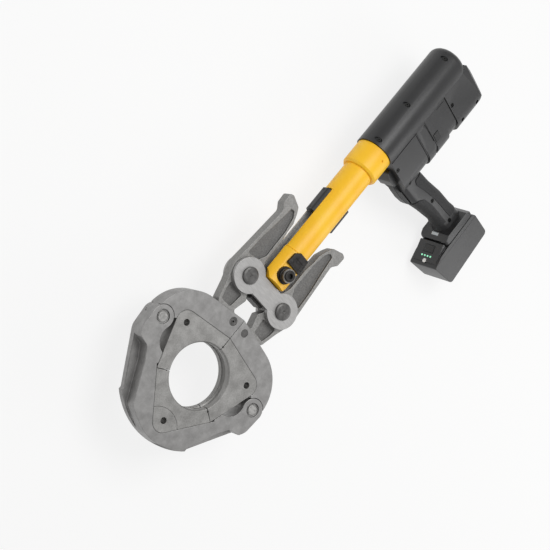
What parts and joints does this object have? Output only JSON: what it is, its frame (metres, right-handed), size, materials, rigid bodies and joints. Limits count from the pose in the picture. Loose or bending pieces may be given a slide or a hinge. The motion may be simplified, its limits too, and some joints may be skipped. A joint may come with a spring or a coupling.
{
  "type": "battery radial press tool with press ring",
  "caption": "Battery hydraulic press tool: yellow swivelling press head, press tongs and an articulated press ring for large metal fittings.",
  "frame": {"origin": "centre of the closed press bore, halfway through the ring", "axes": "+Z along the pressed pipe, to the side of the locking pin knob; +X along the tool from the ring to the rear of the drive; the handle points to -Y and a little to -Z"},
  "size_m": [0.8865, 0.4672, 0.1455],
  "materials": {
    "ring_steel": "machined",
    "shoe_steel": "machined",
    "pin_steel": "ground",
    "spring_steel": "satin",
    "jaw_steel": "forged and blasted",
    "plate_steel": "satin",
    "black_steel": "blackened",
    "yellow_paint": "gloss enamel",
    "bright_steel": "ground",
    "black_plastic": "satin",
    "housing_plastic": "fine grained",
    "soft_grip": "matt",
    "cast_aluminium": "cast",
    "motor_steel": "satin",
    "board": "solder mask",
    "light_lens": "clear",
    "contact_brass": "plain",
    "cell_wrap": "shrink film",
    "lamp_green": "lit",
    "white_plastic": "smooth"
  },
  "bodies": {
    "gun": {"housing_left": "housing_plastic", "housing_right": "housing_plastic", "housing_screws": "black_steel", "grip_cover": "soft_grip", "hydraulic_block": "cast_aluminium", "gearbox": "cast_aluminium", "motor": "motor_steel", "control_board": "board", "trigger_switch": "black_plastic", "work_light": "light_lens", "terminal_blades": "contact_brass", "swivel_spigot": "bright_steel"},
    "trigger": {"trigger": "black_plastic"},
    "reset_button": {"reset_button": "black_plastic"},
    "battery": {"battery_case": "housing_plastic", "battery_top": "housing_plastic", "battery_cells": "cell_wrap", "battery_leds": "lamp_green"},
    "battery_latch": {"battery_latch": "black_plastic"},
    "battery_button": {"battery_button": "white_plastic"},
    "head": {"press_head": "yellow_paint", "swivel_collar": "yellow_paint", "cylinder_gland": "bright_steel", "return_spring": "spring_steel", "slot_guard_left": "black_plastic", "slot_guard_right": "black_plastic", "guard_screws": "black_steel", "lock_bushing": "black_steel", "cover_plate_front": "plate_steel", "cover_plate_rear": "plate_steel", "tong_lug": "black_steel", "jaw_pin_left": "black_steel", "jaw_pin_right": "black_steel"},
    "lock": {"locking_pin": "black_steel", "lock_ring": "bright_steel"},
    "head_latch": {"head_latch": "black_steel"},
    "carriage": {"piston": "bright_steel", "roller_carrier": "bright_steel", "roller_pins": "pin_steel"},
    "roller_left": {"roller_left": "bright_steel"},
    "roller_right": {"roller_right": "bright_steel"},
    "jaw_left": {"jaw_left": "jaw_steel"},
    "jaw_right": {"jaw_right": "jaw_steel"},
    "segment_upper": {"segment_upper": "ring_steel", "cross_pin_upper": "pin_steel"},
    "segment_lower": {"segment_lower": "ring_steel", "cross_pin_lower": "pin_steel"},
    "link": {"ring_link": "ring_steel", "link_saddle": "shoe_steel", "hinge_pin_upper": "pin_steel", "hinge_pin_lower": "pin_steel", "snap_rings": "spring_steel"},
    "shoe_upper": {"shoe_upper": "shoe_steel"},
    "shoe_lower": {"shoe_lower": "shoe_steel"},
    "shoe_link": {"shoe_link": "shoe_steel"}
  },
  "joints": [
    {"name": "head_swivel", "type": "hinge", "parent": "gun", "child": "head", "pos_m": [0.5, 0, 0], "axis": [1, 0, 0], "continuous": true},
    {"name": "jaw_left_open", "type": "hinge", "parent": "head", "child": "jaw_left", "pos_m": [0.1812, 0.046, 0], "axis": [0, 0, -1], "range_deg": [0, 8], "stiffness_Nm_per_rad": 15, "springref_deg": -17.19},
    {"name": "jaw_right_open", "type": "hinge", "parent": "head", "child": "jaw_right", "pos_m": [0.1812, -0.046, 0], "axis": [0, 0, 1], "range_deg": [0, 8]},
    {"name": "segment_upper_turn", "type": "hinge", "parent": "jaw_left", "child": "segment_upper", "pos_m": [0.106, 0.0155, 0], "axis": [0, 0, 1], "range_deg": [0, 15.3]},
    {"name": "link_turn", "type": "hinge", "parent": "segment_upper", "child": "link", "pos_m": [0.0253, 0.121, 0], "axis": [0, 0, 1], "range_deg": [-7.3, 0]},
    {"name": "segment_lower_turn", "type": "hinge", "parent": "link", "child": "segment_lower", "pos_m": [0.0253, -0.121, 0], "axis": [0, 0, 1], "range_deg": [-7.3, 0]},
    {"name": "shoe_upper_slide", "type": "slide", "parent": "segment_upper", "child": "shoe_upper", "axis": [-0.5, -0.866, 0], "range_m": [0, 0.0011]},
    {"name": "shoe_lower_slide", "type": "slide", "parent": "segment_lower", "child": "shoe_lower", "axis": [-0.5, 0.866, 0], "range_m": [0, 0.0011]},
    {"name": "shoe_link_slide", "type": "slide", "parent": "link", "child": "shoe_link", "axis": [1, 0, 0], "range_m": [0, 0.0011]},
    {"name": "piston_stroke", "type": "slide", "parent": "head", "child": "carriage", "axis": [-1, 0, 0], "range_m": [0, 0.042], "stiffness_N_per_m": 800, "springref_m": -0.03, "deforming": ["return_spring"]},
    {"name": "roller_left_spin", "type": "hinge", "parent": "carriage", "child": "roller_left", "pos_m": [0.366, 0.0123, 0], "axis": [0, 0, 1], "continuous": true},
    {"name": "roller_right_spin", "type": "hinge", "parent": "carriage", "child": "roller_right", "pos_m": [0.366, -0.0123, 0], "axis": [0, 0, 1], "continuous": true},
    {"name": "lock_pull", "type": "slide", "parent": "head", "child": "lock", "axis": [0, 0, 1], "range_m": [0, 0.05]},
    {"name": "latch_slide", "type": "slide", "parent": "head", "child": "head_latch", "axis": [1, 0, 0], "range_m": [0, 0.004], "stiffness_N_per_m": 400, "springref_m": -0.004},
    {"name": "trigger_pull", "type": "slide", "parent": "gun", "child": "trigger", "axis": [1, 0, 0], "range_m": [0, 0.006], "stiffness_N_per_m": 600, "springref_m": -0.003},
    {"name": "reset_press", "type": "slide", "parent": "gun", "child": "reset_button", "axis": [0, 0.2079, -0.9781], "range_m": [0, 0.0012], "stiffness_N_per_m": 800, "springref_m": -0.001},
    {"name": "battery_pull", "type": "slide", "parent": "gun", "child": "battery", "axis": [-1, 0, 0], "range_m": [0, 0.085]},
    {"name": "battery_latch_press", "type": "slide", "parent": "battery", "child": "battery_latch", "axis": [0.3063, -0.9311, -0.1979], "range_m": [0, 0.0016], "stiffness_N_per_m": 900, "springref_m": -0.001},
    {"name": "battery_button_press", "type": "slide", "parent": "battery", "child": "battery_button", "axis": [0.3063, -0.9311, -0.1979], "range_m": [0, 0.0006], "stiffness_N_per_m": 900, "springref_m": -0.001}
  ],
  "couplings": [
    {"joint": "jaw_right_open", "follows": "jaw_left_open", "ratio": 1},
    {"joint": "segment_upper_turn", "follows": "jaw_left_open", "ratio": 1.8942},
    {"joint": "link_turn", "follows": "jaw_left_open", "ratio": -0.8942},
    {"joint": "segment_lower_turn", "follows": "jaw_left_open", "ratio": -0.8942},
    {"joint": "shoe_upper_slide", "follows": "jaw_left_open", "m_per_rad": 0.007162},
    {"joint": "shoe_lower_slide", "follows": "jaw_left_open", "m_per_rad": 0.007162},
    {"joint": "shoe_link_slide", "follows": "jaw_left_open", "m_per_rad": 0.007162}
  ]
}
